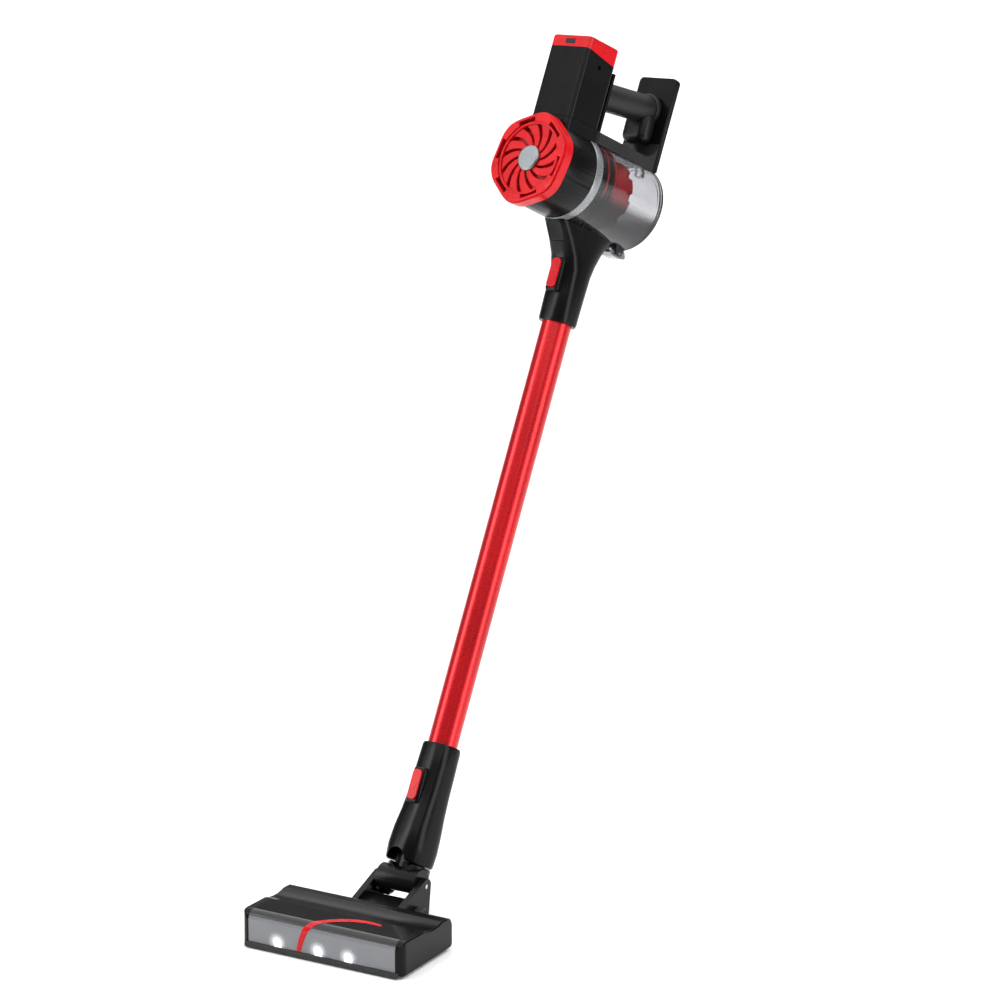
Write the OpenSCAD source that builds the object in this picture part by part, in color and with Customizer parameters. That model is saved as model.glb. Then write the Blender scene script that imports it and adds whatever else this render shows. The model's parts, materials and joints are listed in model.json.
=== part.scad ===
// Cordless stick vacuum cleaner: floor head with a driven brush roll, tilting and
// steering neck, aluminium wand, and a hand unit with motor, cyclone, dust cup,
// battery pack and grip. Millimetres. The origin is the middle of the felt glide
// strip under the head, at floor level. +Z is up and the head's front faces -Y.

/* [Posture] */
// How far the wand leans back from upright, in degrees
lean = 31.1; // [20:0.1:50]
// How far the hand unit is turned about the wand against the head, in degrees
steer = -14.6; // [-30:0.2:30]

/* [Floor head] */
// Width of the head over its end caps
head_w = 230; // [200:1:280]
// Glide strip to the front face
head_front = 72; // [66:1:84]
// Glide strip to the back of the head
head_rear = 54; // [48:1:70]
// Height of the top at the back
head_h = 43; // [40:1:50]
// How much higher the front of the head is than its back
head_rise = 4; // [0:0.5:6]
// Depth of the hollow across the top of the head
head_dip = 3; // [0:0.5:4]
// Radius of the head's corners seen from above
head_corner = 10; // [6:1:14]
// Sole to floor
ground_gap = 3; // [2:0.5:4]
// Wall of the head's shells
head_wall = 2.4; // [2:0.1:3]
// Thickness of each end cap
cap_t = 6; // [5:0.5:9]
// Width of the band beside the window
window_band = 4.5; // [3:0.5:10]
// How far back from the front face the window runs
window_depth = 57; // [40:1:62]

/* [Brush] */
// Radius over the brush's fleece
brush_r = 20.5; // [18:0.5:21]
// Radius of the brush core
core_r = 16; // [13:0.5:17]
// Radius of the brush's belt pulley
brush_pulley_r = 12; // [10:0.5:14]
// Radius of the motor's belt pulley
drive_pulley_r = 7; // [6:0.5:9]
// Radius of the brush motor
brush_motor_r = 13; // [11:0.5:14]
// Length of the brush motor
brush_motor_l = 48; // [36:1:60]
// Width of the drive belt
belt_w = 5; // [4:0.5:6]

/* [Neck] */
// Tilt axis behind the glide strip
pitch_y = 118; // [110:1:130]
// Tilt axis above the floor
pitch_z = 42; // [38:1:50]
// Wand axis behind the tilt axis
neck_set = 10.5; // [6:0.5:14]
// Radius of the tilt drum
drum_r = 19.5; // [17:0.5:21]
// Half the length of the tilt drum
drum_half = 28; // [27.5:0.5:32]
// Radius of the tilt pins
pin_r = 3; // [2:0.5:4]
// Radius of the yoke's spigot, on which the connector steers
spigot_r = 19; // [18:0.5:20]
// Radius of the wheels
wheel_r = 12; // [10:0.5:14]
// Width of the wheels
wheel_w = 11; // [8:0.5:14]

/* [Wand] */
// Outside diameter of the wand
wand_d = 38; // [32:1:42]
// Wall of the wand
wand_wall = 1.6; // [1.2:0.1:2.5]
// Length of wand that shows between its two connectors
wand_show = 552; // [400:1:680]
// How far each end of the wand goes into its connector
wand_grip = 60; // [40:1:62]
// Wall of the connectors around the wand
socket_wall = 2.8; // [2.4:0.1:4]
// Length of the lower connector
connector_l = 154; // [144:1:180]
// Length of the round part of the hand unit's socket
socket_l = 82; // [78:1:100]

/* [Hand unit] */
// Radius of the barrel and the dust cup
barrel_r = 57; // [52:0.5:68]
// Wall of the barrel and the dust cup
barrel_wall = 2.4; // [2:0.1:3]
// Front of the filter cover, ahead of the wand axis
cover_front = 131; // [125:1:145]
// Thickness of the filter cover
cover_t = 16; // [12:1:20]
// Back of the dust cup, behind the wand axis
cup_back = 72; // [68:1:90]
// Joint between barrel and dust cup, ahead of the wand axis
cup_joint = 63; // [56:1:66]
// Gap between the top of the wand socket and the barrel
bracket_h = 38; // [34:1:50]

/* [Handle and battery] */
// Width of the battery pack
battery_w = 66; // [60:1:70]
// Depth of the battery pack, front to back
battery_d = 57.5; // [54:0.5:62]
// Back of the battery dock, ahead of the wand axis
dock_back = 49; // [45:1:52]
// Top of the battery cap above the deck
battery_h = 106; // [102:1:127]
// Height of the cap at its front
cap_front_h = 15; // [12:1:20]
// Height of the cap at its back
cap_back_h = 24; // [18:1:28]
// Width of the handle's deck and back panel
deck_w = 62; // [50:1:66]
// Height of the deck over the barrel
deck_rise = 6; // [5:0.5:11]
// Radius of the grip
grip_r = 18.4; // [15:0.2:20]
// Middle of the grip above the deck
grip_lift = 58; // [53:1:67]
// Top of the back panel above the deck
panel_h = 110; // [97:1:127]
// Thickness of the back panel with its fascia
panel_t = 9; // [8:0.5:14]

/* [Fits] */
// Clearance of parts that turn or slide on each other
run_gap = 0.06; // [0.03:0.01:0.1]
// Clearance of parts that are put together and taken apart
slip_gap = 0.3; // [0.2:0.05:0.4]

/* [Hidden] */
$fn = 48;
e = 0.01;

// floor head
inner_half = head_w / 2 - cap_t;
window_half = inner_half - window_band;
sole_top = ground_gap + head_wall;
front_h = head_h + head_rise;
front_round = 12;
rear_round = 12;
window_sill = 8;
mouth_half = inner_half - 12;
mouth_front = head_front - 4;
mouth_back = 26;
wall_back = mouth_back - 0.5;
brush_y = -(head_front - head_wall - brush_r - 2.1);
brush_z = brush_r + 1;
core_half = inner_half - 12;
brush_pin_r = 4;
brush_pin_reach = 19;
belt_x = -(inner_half - 5);
belt_t = 1.5;
drive_y = 4;
drive_z = 24;
motor_x = -(inner_half - 15);
led_x = [-64, -6, 37];
accent_mid = [41, -64];
accent_r = 79;
accent_end = 60;
duct_half = 26;
duct_top = 30;
screw_places = [[-100, 24], [100, 24], [-60, 42], [60, 42]];

// neck
cheek_in = drum_half + 1;
cheek_t = 8;
cheek_out = cheek_in + cheek_t;
cheek_r = 10;
wheel_y = pitch_y - 26;
rim_r = drum_half - 1;
rim_top = 22;
connector_w0 = rim_top + 2;
wand_r = wand_d / 2;
socket_r = wand_r + 0.2 + socket_wall;
wand_w0 = connector_w0 + connector_l;
wand_w1 = wand_w0 + wand_show;
bulb_r = socket_r + 4;
bulb_off = 4.5;
bulb_l = 56;
spigot_l = 40;
duct_r = wand_r - 4;
clip_w = 52;
seal_w = 41;
button_l = 38;
button_w = 14;
button_top = socket_r + 9.5;
button_in = socket_r + 1.6;
lower_button_w = connector_w0 + 96;
upper_button_w = wand_w1 + 59;

// hand unit
barrel_w = wand_w1 + socket_l + bracket_h + barrel_r;
bore_r = barrel_r - barrel_wall;
base_r = bore_r - 2.1;
base_bore = base_r - 4.5;
filter_r = bore_r - 2.6;
deck_top = barrel_r + deck_rise;
battery_top = deck_top + battery_h;
grip_h = deck_top + grip_lift;
panel_top = deck_top + panel_h;
barrel_front = cover_front - cover_t;
dock_front = dock_back + 4 + 0.5 + battery_d;
rim_l = 13;
lid_t = 4;
lid_chamfer = 0.8;
cup_end = cup_back - lid_t;
bracket_half = 19;
seal_at = [-36, -22];
lid_pin_v = cup_back + 5;
lid_pin_w = barrel_r + 2;
lid_pin_r = 1.5;
notch_half = 12.5;
latch_v = cup_back - 8;
latch_w = -(barrel_r + 5);
latch_half = 10;
latch_hook = 6.6;
latch_gap = 0.8;
lobes = 6;
vanes = 12;
hub_r = 16.5;
fan_r = barrel_r - 9;
motor_r = bore_r - 17.6;
motor_v0 = -98;
motor_v1 = -40;
panel_v0 = cup_back - panel_t;
fascia_t = 3;
grip_rise = 8;
grip_v = (panel_v0 - dock_back) / 2;
case_floor = deck_top + 0.5;
case_wall = 2;
button_at = [[0, 41], [0, 71]];
jack_r = 2.75;
jack_l = 10;
jack_v = -dock_back - 4.5 - battery_d / 2;
jack_w = case_floor + case_wall + 71;

// Frame of the yoke: Z up the wand, origin on the tilt axis
module in_neck() {
    translate([0, pitch_y, pitch_z]) rotate([-lean, 0, 0]) children();
}
// Frame of the wand and hand unit: Z up the wand axis, +Y to the back
module in_unit() {
    in_neck() translate([0, neck_set, 0]) rotate([0, 0, steer]) children();
}
// Frame of the barrel: origin on its axis above the wand, same directions as in_unit
module in_hand() {
    in_unit() translate([0, 0, barrel_w]) children();
}
// Cylinder along Y from y0 to y1
module y_cyl(r, y0, y1) {
    translate([0, y0, 0]) rotate([-90, 0, 0]) cylinder(r = r, h = y1 - y0);
}
// Ring along Y from y0 to y1
module y_ring(r_out, r_in, y0, y1) {
    difference() {
        y_cyl(r_out, y0, y1);
        y_cyl(r_in, y0 - 1, y1 + 1);
    }
}
// Cylinder along X from x0 to x1
module x_cyl(r, x0, x1) {
    translate([x0, 0, 0]) rotate([0, 90, 0]) cylinder(r = r, h = x1 - x0);
}
// Box between two corners
module box(a, b) {
    translate(a) cube(b - a);
}
// Extrudes an outline drawn in Y and Z along X
module x_extrude(x0, x1) {
    translate([x0, 0, 0]) rotate([90, 0, 90]) linear_extrude(x1 - x0) children();
}
// Extrudes an outline drawn in X and Z along Y
module y_extrude(y0, y1) {
    translate([0, y1, 0]) rotate([90, 0, 0]) linear_extrude(y1 - y0) children();
}
// Rectangle between two corners with rounded corners
module round_rect(a, b, r) {
    translate(a + [r, r]) offset(r) square(b - a - [2 * r, 2 * r]);
}

// ---- floor head ----
// Side outline of the head
module head_profile() {
    dip_r = 70;
    offset(5) offset(-5) difference() {
        head_block();
        translate([head_rear - 48, head_h + 1 - head_dip + dip_r]) circle(dip_r, $fn = 120);
    }
}
module head_block() {
    hull() {
        translate([front_round - head_front, front_h - front_round]) circle(front_round);
        translate([head_rear - 6 - rear_round, head_h - rear_round]) circle(rear_round);
        translate([head_rear - 8, 20]) circle(8);
        translate([3 - head_front, ground_gap + 3]) circle(3);
        translate([head_rear - 12, ground_gap + 6]) circle(6);
    }
}
module head_inside() {
    offset(delta = -head_wall) head_profile();
}
// Everything inside the head's outline seen from above
module head_plan(inset = 0) {
    linear_extrude(2 * head_h)
        round_rect([inset - head_w / 2, inset - head_front], [head_w / 2 - inset, head_rear - inset], head_corner);
}
// Part of the outline that the window fills
module window_area(grow = 0) {
    translate([-head_front - 20, window_sill - grow])
        square([20 + window_depth + grow, front_h + 10]);
}
// Front of the outline between the sole and the window
module sill_area(grow = 0) {
    translate([-head_front - 1, sole_top + 0.1 - grow]) square([6 + grow, window_sill - sole_top - 0.2 + 2 * grow]);
}
// Wall of the head above the sole
module head_wall_area() {
    difference() {
        head_profile();
        head_inside();
        translate([-200, -50]) square([400, 50 + sole_top + 0.1]);
    }
}
module head_shell() {
    color([0.05, 0.05, 0.055]) difference() {
        union() {
            x_extrude(-window_half - e, window_half + e) difference() {
                head_wall_area();
                window_area(0.1);
                sill_area(0.1);
            }
            for (s = [0, 1]) mirror([s, 0, 0])
                x_extrude(window_half, inner_half - 0.1) difference() {
                    head_wall_area();
                    sill_area(0.1);
                }
            intersection() {
                x_extrude(-inner_half, inner_half) offset(delta = -head_wall / 2) head_profile();
                for (p = screw_places) translate([p[0], p[1], sole_top + 0.2]) cylinder(r = 4, h = head_h);
            }
        }
        for (p = screw_places)
            translate([p[0], p[1], sole_top - 1]) cylinder(r = 1.5, h = 14);
        difference() {
            box([-inner_half - 1, -head_front - 1, 0], [inner_half + 1, 0, 2 * head_h]);
            head_plan();
        }
        box([-cheek_out - 0.6, head_rear - 22, 0], [cheek_out + 0.6, head_rear + 10, duct_top + 6]);
    }
}
module sole_plate() {
    color([0.06, 0.06, 0.065]) difference() {
        union() {
            x_extrude(-inner_half + 0.1, inner_half - 0.1) intersection() {
                head_profile();
                translate([-200, 0]) square([400, sole_top]);
            }
            box([-mouth_half + 0.2, -wall_back, sole_top - e],
                [mouth_half - 0.2, -wall_back + 2, head_h - head_wall - 1]);
            for (x = [motor_x + 4, motor_x + brush_motor_l - 8])
                box([x, drive_y - 11, sole_top - e], [x + 3, drive_y + 11, drive_z - 6]);
        }
        box([-mouth_half, -mouth_front, -1], [mouth_half, -mouth_back, sole_top + 1]);
        box([-duct_half + 2, -wall_back - 1, 8], [duct_half - 2, -wall_back + 3, duct_top - 2]);
        translate([0, drive_y, drive_z]) x_cyl(brush_motor_r, -inner_half, 0);
        box([-cheek_out - 0.5, head_rear - 4, 0], [cheek_out + 0.5, head_rear + 10, 20]);
        for (p = screw_places) translate([p[0], p[1], 0]) {
            cylinder(r = 1.7, h = 10);
            cylinder(r = 3.2, h = ground_gap + 1.6);
        }
    }
}
// End cap with the pin that the brush turns on
module end_cap(side) {
    color([0.07, 0.07, 0.075]) mirror([side < 0 ? 1 : 0, 0, 0]) union() {
        intersection() {
            union() {
                x_extrude(inner_half, inner_half + cap_t - 1.5) head_profile();
                x_extrude(inner_half + cap_t - 1.5 - e, inner_half + cap_t) offset(delta = -1.5) head_profile();
            }
            head_plan();
        }
        translate([0, brush_y, brush_z]) {
            x_cyl(brush_pin_r, inner_half - brush_pin_reach, inner_half + 1);
            x_cyl(brush_pin_r + 3, inner_half - 1.5, inner_half + 1);
        }
    }
}
module end_cap_left() {
    end_cap(-1);
}
module end_cap_right() {
    end_cap(1);
}
module brush_window() {
    color([0.6, 0.62, 0.64, 0.4]) x_extrude(-window_half + 0.1, window_half - 0.1)
        intersection() {
            head_wall_area();
            window_area();
        }
}
// Tapered stripe laid over the window, drawn square to a line that looks down at it from the front
module accent_strip() {
    color([0.85, 0.05, 0.06]) intersection() {
        x_extrude(-window_half, window_half) intersection() {
            difference() {
                offset(delta = 0.4) head_profile();
                offset(delta = 0.05) head_profile();
            }
            window_area();
        }
        rotate([45, 0, 0]) translate([0, 0, -200]) linear_extrude(400) difference() {
            translate(accent_mid) circle(accent_r, $fn = 120);
            translate(accent_mid + [7.5, -9]) circle(accent_r + 3.8, $fn = 120);
            translate([accent_end, -200]) square([200, 400]);
            translate([-200, accent_mid[1] - 300]) square([accent_mid[0] + 200 - 80, 300]);
        }
    }
}
module front_bumper() {
    color([0.04, 0.04, 0.045]) {
        x_extrude(-inner_half + 0.1, inner_half - 0.1)
            polygon([[-head_front - 3, 1], [-head_front - 3, window_sill - 1],
                [-head_front - 2, window_sill - 0.1], [-head_front + 5, window_sill - 0.1],
                [-head_front + 5, sole_top + 0.1], [-head_front - 0.1, sole_top + 0.1], [-head_front - 0.1, 1]]);
    }
}
module led_lenses() {
    color([1, 1, 0.95]) for (x = led_x)
        translate([x, 0, window_sill - 0.1])
            box([-4.5, -head_front + head_wall + 0.1, 0], [4.5, -head_front + head_wall + 2.3, 6]);
}
module glide_strip() {
    color([0.12, 0.12, 0.12]) box([-80, -4, 0], [80, 4, ground_gap]);
}
// Outline of one cheek that carries the tilt pin, in Y and Z
module cheek_area() {
    hull() {
        translate([pitch_y, pitch_z]) circle(cheek_r);
        translate([head_rear + 8, 27]) circle(6);
        translate([head_rear + 2, ground_gap]) square([8, 4]);
        translate([pitch_y - 4, ground_gap]) square([8, 4]);
    }
}
module neck_base() {
    color([0.05, 0.05, 0.055]) difference() {
        union() {
            for (s = [-1, 1]) x_extrude(s * (cheek_in + cheek_t / 2) - cheek_t / 2,
                s * (cheek_in + cheek_t / 2) + cheek_t / 2) cheek_area();
            box([-cheek_out, head_rear + 2, ground_gap], [cheek_out, pitch_y - drum_r - 1.5, 7.6]);
            box([-duct_half, -wall_back + 2.3, sole_top + 0.2], [duct_half, head_rear + 4, duct_top]);
            box([-cheek_in - e, head_rear + 2, sole_top], [cheek_in + e, pitch_y - drum_r - 1.5, duct_top]);
            for (s = [0, 1]) mirror([s, 0, 0]) translate([0, wheel_y, wheel_r])
                x_cyl(3, cheek_out - 1, cheek_out + wheel_w + 1);
        }
        box([-duct_half + 2, -wall_back, 7.6], [duct_half - 2, pitch_y, duct_top - 2]);
        translate([0, pitch_y, pitch_z]) {
            x_cyl(pin_r + run_gap, -cheek_out - 1, cheek_out + 1);
            x_cyl(drum_r + 0.6, -cheek_in, cheek_in);
        }
    }
}
module brush_motor() {
    color([0.6, 0.6, 0.62]) translate([0, drive_y, drive_z]) difference() {
        union() {
            x_cyl(brush_motor_r - 0.05, motor_x, motor_x + brush_motor_l);
            x_cyl(4, motor_x - 2, motor_x + 1);
            x_cyl(5, motor_x + brush_motor_l - 1, motor_x + brush_motor_l + 3);
        }
        x_cyl(1.5 + run_gap, motor_x - 3, motor_x + 6);
    }
}
module drive_belt() {
    color([0.1, 0.1, 0.1]) x_extrude(belt_x - belt_w / 2, belt_x + belt_w / 2) difference() {
        belt_loop(belt_t + slip_gap);
        belt_loop(slip_gap);
    }
}
// Outline of the belt's run, grown outwards
module belt_loop(grow) {
    hull() {
        translate([brush_y, brush_z]) circle(brush_pulley_r + grow, $fn = 60);
        translate([drive_y, drive_z]) circle(drive_pulley_r + grow, $fn = 60);
    }
}
module head_screws() {
    color([0.7, 0.7, 0.72]) for (p = screw_places) translate([p[0], p[1], ground_gap + 0.1])
        difference() {
            union() {
                cylinder(r = 3, h = 1.4);
                cylinder(r = 1.45, h = 14);
            }
            for (a = [0, 90]) rotate(a) box([-2, -0.4, -1], [2, 0.4, 0.8]);
        }
}

// ---- brush and its drive ----
module brush_core() {
    color([0.2, 0.2, 0.22]) translate([0, brush_y, brush_z]) difference() {
        x_cyl(core_r, -core_half, core_half);
        x_cyl(core_r - 3, -core_half + 10, core_half - 10);
        x_cyl(brush_pin_r + run_gap, -core_half - 1, core_half + 1);
    }
}
// Band of the brush's skin between two angles, twisted once along the brush
module brush_skin(a0, a1, r0, r1) {
    steps = ceil((a1 - a0) / 20);
    angles = [for (i = [0:steps]) a0 + (a1 - a0) * i / steps];
    translate([-core_half + 2, brush_y, brush_z]) rotate([0, 90, 0])
        linear_extrude(2 * core_half - 4, twist = 360, slices = 24)
            polygon(concat([for (a = angles) r1 * [cos(a), sin(a)]],
                [for (i = [steps:-1:0]) r0 * [cos(angles[i]), sin(angles[i])]]));
}
module brush_fleece() {
    color([0.25, 0.26, 0.28]) brush_skin(20, 358, core_r + 0.5, brush_r - 0.3);
}
module brush_strip() {
    color([0.8, 0.05, 0.06]) brush_skin(0, 18, core_r + 0.5, brush_r);
}
module brush_pulley() {
    color([0.3, 0.3, 0.32]) translate([0, brush_y, brush_z]) difference() {
        union() {
            x_cyl(brush_pulley_r, belt_x - belt_w / 2 - 0.5, belt_x + belt_w / 2 + 0.5);
            x_cyl(8, belt_x, -core_half);
        }
        x_cyl(brush_pin_r + run_gap, -head_w, 0);
    }
}
module motor_pulley() {
    color([0.5, 0.5, 0.52]) translate([0, drive_y, drive_z]) union() {
        x_cyl(drive_pulley_r, belt_x - belt_w / 2 - 0.5, belt_x + belt_w / 2 + 0.5);
        x_cyl(1.5, belt_x, motor_x + 4);
    }
}
module wheel(side) {
    color([0.12, 0.12, 0.12]) mirror([side < 0 ? 1 : 0, 0, 0]) translate([0, wheel_y, wheel_r])
        difference() {
            x_cyl(wheel_r, cheek_out + 0.5, cheek_out + 0.5 + wheel_w);
            x_cyl(3 + run_gap, cheek_out, cheek_out + wheel_w + 1);
            x_cyl(wheel_r - 3, cheek_out + wheel_w - 1, cheek_out + wheel_w + 1);
        }
}
module wheel_left() {
    wheel(-1);
}
module wheel_right() {
    wheel(1);
}

// ---- neck ----
module neck_yoke() {
    color([0.12, 0.12, 0.125]) in_neck() difference() {
        union() {
            x_cyl(drum_r, -drum_half, drum_half);
            translate([0, neck_set, 0]) difference() {
                union() {
                    translate([0, 0, -8]) cylinder(r1 = 20, r2 = rim_r, h = 18);
                    translate([0, 0, 10]) cylinder(r = rim_r, h = rim_top - 10);
                }
                y_extrude(-50, 50) polygon([[-15, rim_top + 1], [15, rim_top + 1], [0, 7]]);
            }
            translate([0, neck_set, 0]) cylinder(r = spigot_r, h = connector_w0 + spigot_l - 2);
        }
        translate([0, neck_set, -30]) cylinder(r = duct_r, h = 200);
        x_cyl(drum_r - 3, -drum_half + 3, drum_half - 3);
        box([-duct_half + 1, -30, -30], [duct_half - 1, 2, -drum_r * 0.7]);
        x_cyl(pin_r, -40, 40);
        translate([0, neck_set, clip_w - 0.2]) ring(spigot_r + 1, spigot_r - 2, 3.4);
        translate([0, neck_set, seal_w]) ring(spigot_r + 1, spigot_r - 2.2, 3);
    }
}
// Ring about Z, standing on z = 0
module ring(r_out, r_in, h) {
    difference() {
        cylinder(r = r_out, h = h);
        translate([0, 0, -1]) cylinder(r = r_in, h = h + 2);
    }
}
module pitch_pins() {
    color([0.75, 0.75, 0.77]) in_neck() for (s = [0, 1]) mirror([s, 0, 0])
        x_cyl(pin_r, drum_half - 3, cheek_out - 0.5);
}
module swivel_seal() {
    color([0.05, 0.05, 0.05]) in_neck() translate([0, neck_set, seal_w + 1.5])
        rotate_extrude() translate([spigot_r - 1.05, 0]) circle(1.1);
}
// Boss around a release button on the front of a connector, middle at height w
module button_boss(w) {
    y_extrude(-button_top + 2, -socket_r + 4)
        round_rect([-button_w / 2 - 3, w - button_l / 2 - 4], [button_w / 2 + 3, w + button_l / 2 + 4], 6);
}
// Pocket that a release button travels in
module button_pocket(w) {
    y_extrude(-button_top - 1, -socket_r + 2)
        round_rect([-button_w / 2 - slip_gap, w - button_l / 2 - slip_gap],
            [button_w / 2 + slip_gap, w + button_l / 2 + slip_gap], 5);
}
// Release button, middle at height w
module release_button(w) {
    color([0.85, 0.06, 0.07]) in_unit() y_extrude(-button_top, -button_in)
        round_rect([-button_w / 2, w - button_l / 2], [button_w / 2, w + button_l / 2], 4.8);
}
module lower_connector() {
    color([0.06, 0.06, 0.065]) in_unit() difference() {
        union() {
            translate([0, 0, connector_w0]) cylinder(r = socket_r, h = connector_l);
            translate([0, -bulb_off, connector_w0]) cylinder(r = bulb_r, h = bulb_l);
            translate([0, -bulb_off, connector_w0 + bulb_l - e])
                cylinder(r1 = bulb_r, r2 = socket_r - bulb_off, h = 26);
            button_boss(lower_button_w);
        }
        translate([0, 0, connector_w0]) {
            translate([0, 0, -1]) cylinder(r = spigot_r + slip_gap, h = spigot_l + 1);
            cylinder(r = duct_r + 0.5, h = connector_l + 1);
            translate([0, 0, connector_l - wand_grip]) cylinder(r = wand_r + 0.2, h = wand_grip + 1);
            y_cyl(13, -50, -spigot_r - 0.6);
        }
        translate([0, 0, clip_w]) cylinder(r = spigot_r + 1.6, h = 3);
        button_pocket(lower_button_w);
    }
}
module swivel_clip() {
    color([0.7, 0.7, 0.72]) in_unit() translate([0, 0, clip_w + 0.2]) difference() {
        ring(spigot_r + 1.4, spigot_r - 1.8, 2.6);
        box([-4, -spigot_r - 3, -1], [4, 0, 4]);
    }
}
module lower_button() {
    release_button(lower_button_w);
}

// ---- wand ----
module wand_tube() {
    color([0.75, 0.02, 0.04]) in_unit() difference() {
        translate([0, 0, wand_w0 - wand_grip + 0.2]) cylinder(r = wand_r, h = wand_show + 2 * wand_grip - 0.4);
        translate([0, 0, wand_w0 - wand_grip - 1]) cylinder(r = wand_r - wand_wall, h = wand_show + 2 * wand_grip + 2);
        for (w = [wand_w0 - 40, wand_w1 + 40]) translate([0, 0, w]) y_cyl(3, -wand_r - 2, 0);
    }
}

// ---- hand unit ----
module wand_socket() {
    top = barrel_w - 30;
    neck_w = wand_w1 + socket_l;
    color([0.05, 0.05, 0.055]) in_unit() difference() {
        union() {
            translate([0, 0, wand_w1]) cylinder(r = socket_r, h = socket_l + 8);
            x_extrude(-bracket_half, bracket_half) polygon([[-20, neck_w - 26], [-31, neck_w],
                [-cup_joint + 1, neck_w + bracket_h], [-cup_joint + 1, top], [cup_back - 22, top],
                [cup_back - 22, neck_w + bracket_h + 2], [43, neck_w + 30], [33, neck_w + 11], [20, neck_w - 26]]);
            button_boss(upper_button_w);
            translate([0, 0, barrel_w]) intersection() {
                y_ring(barrel_r + 2.6, barrel_r + 0.1, -cup_joint - 16, -cup_joint + 2);
                box([-15, -200, -80], [15, 0, 0]);
            }
        }
        translate([0, 0, barrel_w]) y_cyl(barrel_r + 0.4, -cup_joint + 0.5, 200);
        translate([0, 0, barrel_w]) y_cyl(barrel_r + 0.1, -200, 0);
        translate([0, 0, wand_w1 - 1]) cylinder(r = wand_r + 0.2, h = wand_grip + 1);
        translate([0, 0, wand_w1]) cylinder(r = duct_r, h = 300);
        button_pocket(upper_button_w);
    }
}
module upper_button() {
    release_button(upper_button_w);
}
module motor_barrel() {
    color([0.06, 0.06, 0.065]) in_hand() difference() {
        y_cyl(barrel_r, -barrel_front, -cup_joint);
        y_cyl(bore_r, -barrel_front - 1, -cup_joint + 1);
        for (a = [21, -16, 159, 196]) rotate([0, -a, 0])
            box([barrel_r - 1, -barrel_front + 3, -1], [barrel_r + 2, 0, 1]);
    }
}
// Pierced disc between the motor and the exhaust filter
module barrel_grille() {
    color([0.15, 0.15, 0.16]) in_hand() difference() {
        y_cyl(bore_r - 0.05, -barrel_front + 14, -barrel_front + 16);
        for (i = [0:11]) rotate([0, 30 * i, 0]) translate([motor_r + 1, 0, 0]) y_cyl(5, -200, 0);
    }
}
module motor_case() {
    color([0.7, 0.7, 0.72]) in_hand() difference() {
        y_cyl(motor_r, motor_v0, motor_v1);
        y_cyl(motor_r - 2, motor_v0 + 3, motor_v1 - 2);
        y_cyl(19, motor_v1 - 5, motor_v1 + 1);
        y_cyl(2.5 + run_gap, motor_v0 - 1, 0);
        for (i = [0:5]) rotate([0, 60 * i, 0]) translate([motor_r - 13, 0, 0]) y_cyl(6, motor_v0 - 1, motor_v0 + 5);
    }
}
module motor_mounts() {
    color([0.08, 0.08, 0.08]) in_hand() {
        difference() {
            y_ring(bore_r - 0.05, motor_r + 0.05, motor_v0 + 6, motor_v0 + 11);
            for (i = [0:7]) rotate([0, 45 * i, 0]) translate([(bore_r + motor_r) / 2, 0, 0]) y_cyl(5, -200, 0);
        }
        y_ring(base_bore - 0.1, motor_r + 0.05, motor_v1 - 14, motor_v1 - 9);
    }
}
module impeller() {
    color([0.8, 0.8, 0.82]) in_hand() difference() {
        union() {
            y_cyl(motor_r - 6, -58, -56);
            y_cyl(7, -58, -45);
            for (i = [0:8]) rotate([0, 40 * i, 0]) box([5, -57, -0.6], [motor_r - 7, -48, 0.6]);
        }
        y_cyl(2.5, -200, 0);
    }
}
module rotor_shaft() {
    color([0.75, 0.75, 0.78]) in_hand() {
        y_cyl(2.5, motor_v0, -44);
        y_ring(12, 2.5, -88, -66);
    }
}

// ---- cyclone and dust cup ----
module cyclone_base() {
    color([0.07, 0.07, 0.08]) in_hand() difference() {
        union() {
            y_cyl(base_r, -cup_joint - e, -18);
            y_cyl(bore_r - 0.1, -cup_joint - 8, -cup_joint);
        }
        y_cyl(base_bore, -cup_joint - 9, -26);
        y_cyl(22, -30, 0);
        for (v = seal_at) y_ring(barrel_r, base_r - 1.5, v - 1.9, v + 1.9);
    }
}
module cyclone_seals() {
    color([0.8, 0.05, 0.06]) in_hand() for (v = seal_at) translate([0, v, 0]) rotate([90, 0, 0])
        rotate_extrude() translate([base_r + 0.25, 0]) circle(1.7);
}
module cyclone_screen() {
    color([0.6, 0.6, 0.62]) in_hand() difference() {
        y_cyl(33, -17.9, 14);
        y_cyl(32, -20, 12);
        for (a = [0:24:336], v = [-13, -6]) rotate([0, a, 0]) translate([0, v, 0]) x_cyl(2.4, 28, 36);
    }
}
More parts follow.
